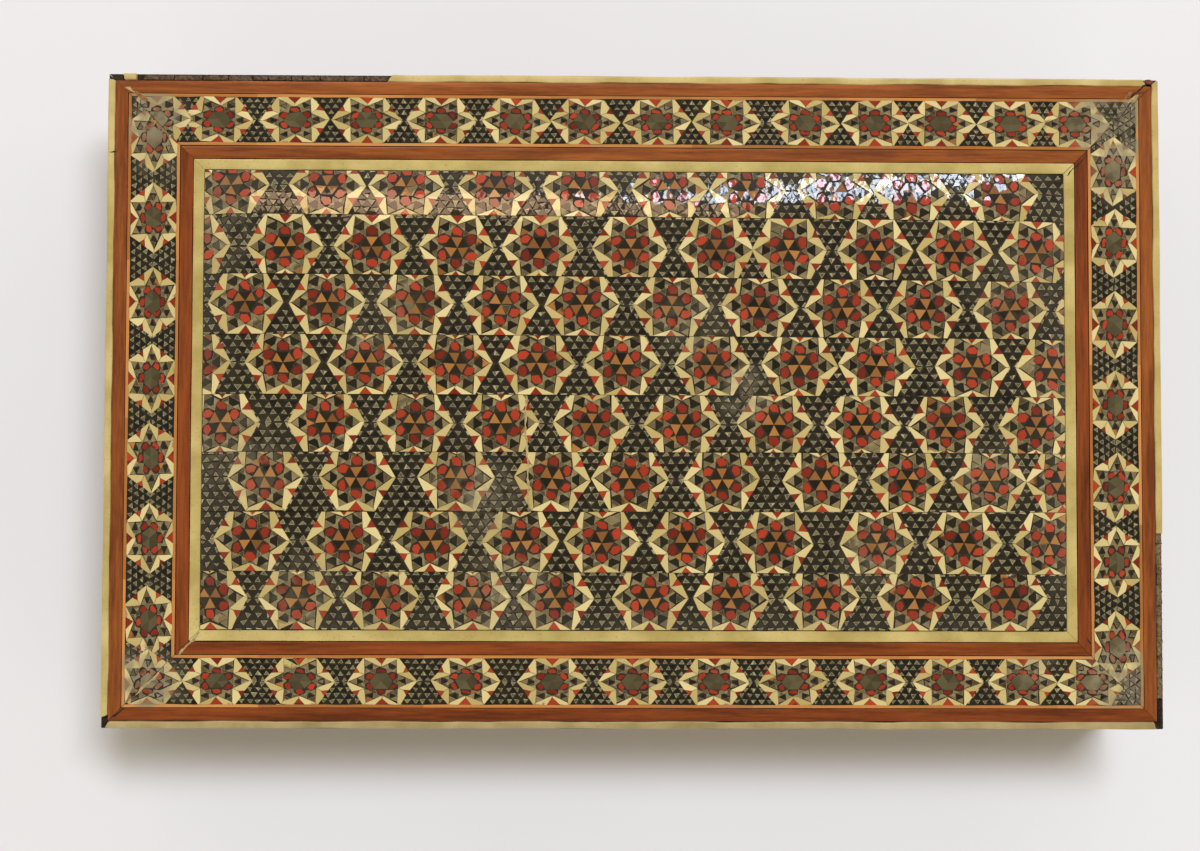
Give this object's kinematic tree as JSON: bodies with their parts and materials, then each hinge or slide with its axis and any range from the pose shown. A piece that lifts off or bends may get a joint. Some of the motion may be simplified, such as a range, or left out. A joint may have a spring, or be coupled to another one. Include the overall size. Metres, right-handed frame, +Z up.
{
  "type": "micromosaic box",
  "caption": "Long low wooden box with a lift-off lid, covered in varnished star marquetry between redwood and bone bands, its lid cushioned in the middle, with worn and broken bone edging.",
  "frame": {"origin": "middle of the underside", "axes": "+X along the box's length, -Y out of its front, +Z up"},
  "size_m": [0.168, 0.104, 0.0482],
  "materials": {
    "softwood": "bare sawn wood, brushed with thin varnish",
    "redwood": "redwood veneer under gloss varnish",
    "bone": "camel bone, aged yellow, varnished",
    "khatam": "star marquetry of dark wood, dyed bone and metal rods under gloss varnish"
  },
  "bodies": {
    "root": {"wall_front": "softwood", "wall_back": "softwood", "wall_left": "softwood", "wall_right": "softwood", "base_board": "softwood", "lid_board": "softwood", "khatam_side_front": "khatam", "redwood_upper_front": "redwood", "redwood_lower_front": "redwood", "bone_foot_front": "bone", "khatam_side_right": "khatam", "redwood_upper_right": "redwood", "redwood_lower_right": "redwood", "bone_foot_right": "bone", "khatam_side_back": "khatam", "redwood_upper_back": "redwood", "redwood_lower_back": "redwood", "bone_foot_back": "bone", "khatam_side_left": "khatam", "redwood_upper_left": "redwood", "redwood_lower_left": "redwood", "bone_foot_left": "bone", "bone_post_front_left": "bone", "bone_post_front_right": "bone", "bone_post_back_left": "bone", "bone_post_back_right": "bone", "khatam_lid_front": "khatam", "bone_edge_front": "bone", "redwood_outer_front": "redwood", "khatam_border_front": "khatam", "redwood_inner_front": "redwood", "bone_inner_front": "bone", "khatam_lid_right": "khatam", "bone_edge_right": "bone", "redwood_outer_right": "redwood", "khatam_border_right": "khatam", "redwood_inner_right": "redwood", "bone_inner_right": "bone", "khatam_lid_back": "khatam", "bone_edge_back": "bone", "redwood_outer_back": "redwood", "khatam_border_back": "khatam", "redwood_inner_back": "redwood", "bone_inner_back": "bone", "khatam_lid_left": "khatam", "bone_edge_left": "bone", "redwood_outer_left": "redwood", "khatam_border_left": "khatam", "redwood_inner_left": "redwood", "bone_inner_left": "bone", "bone_edge_back_stub": "bone", "cushion_panel": "khatam"}
  },
  "joints": []
}
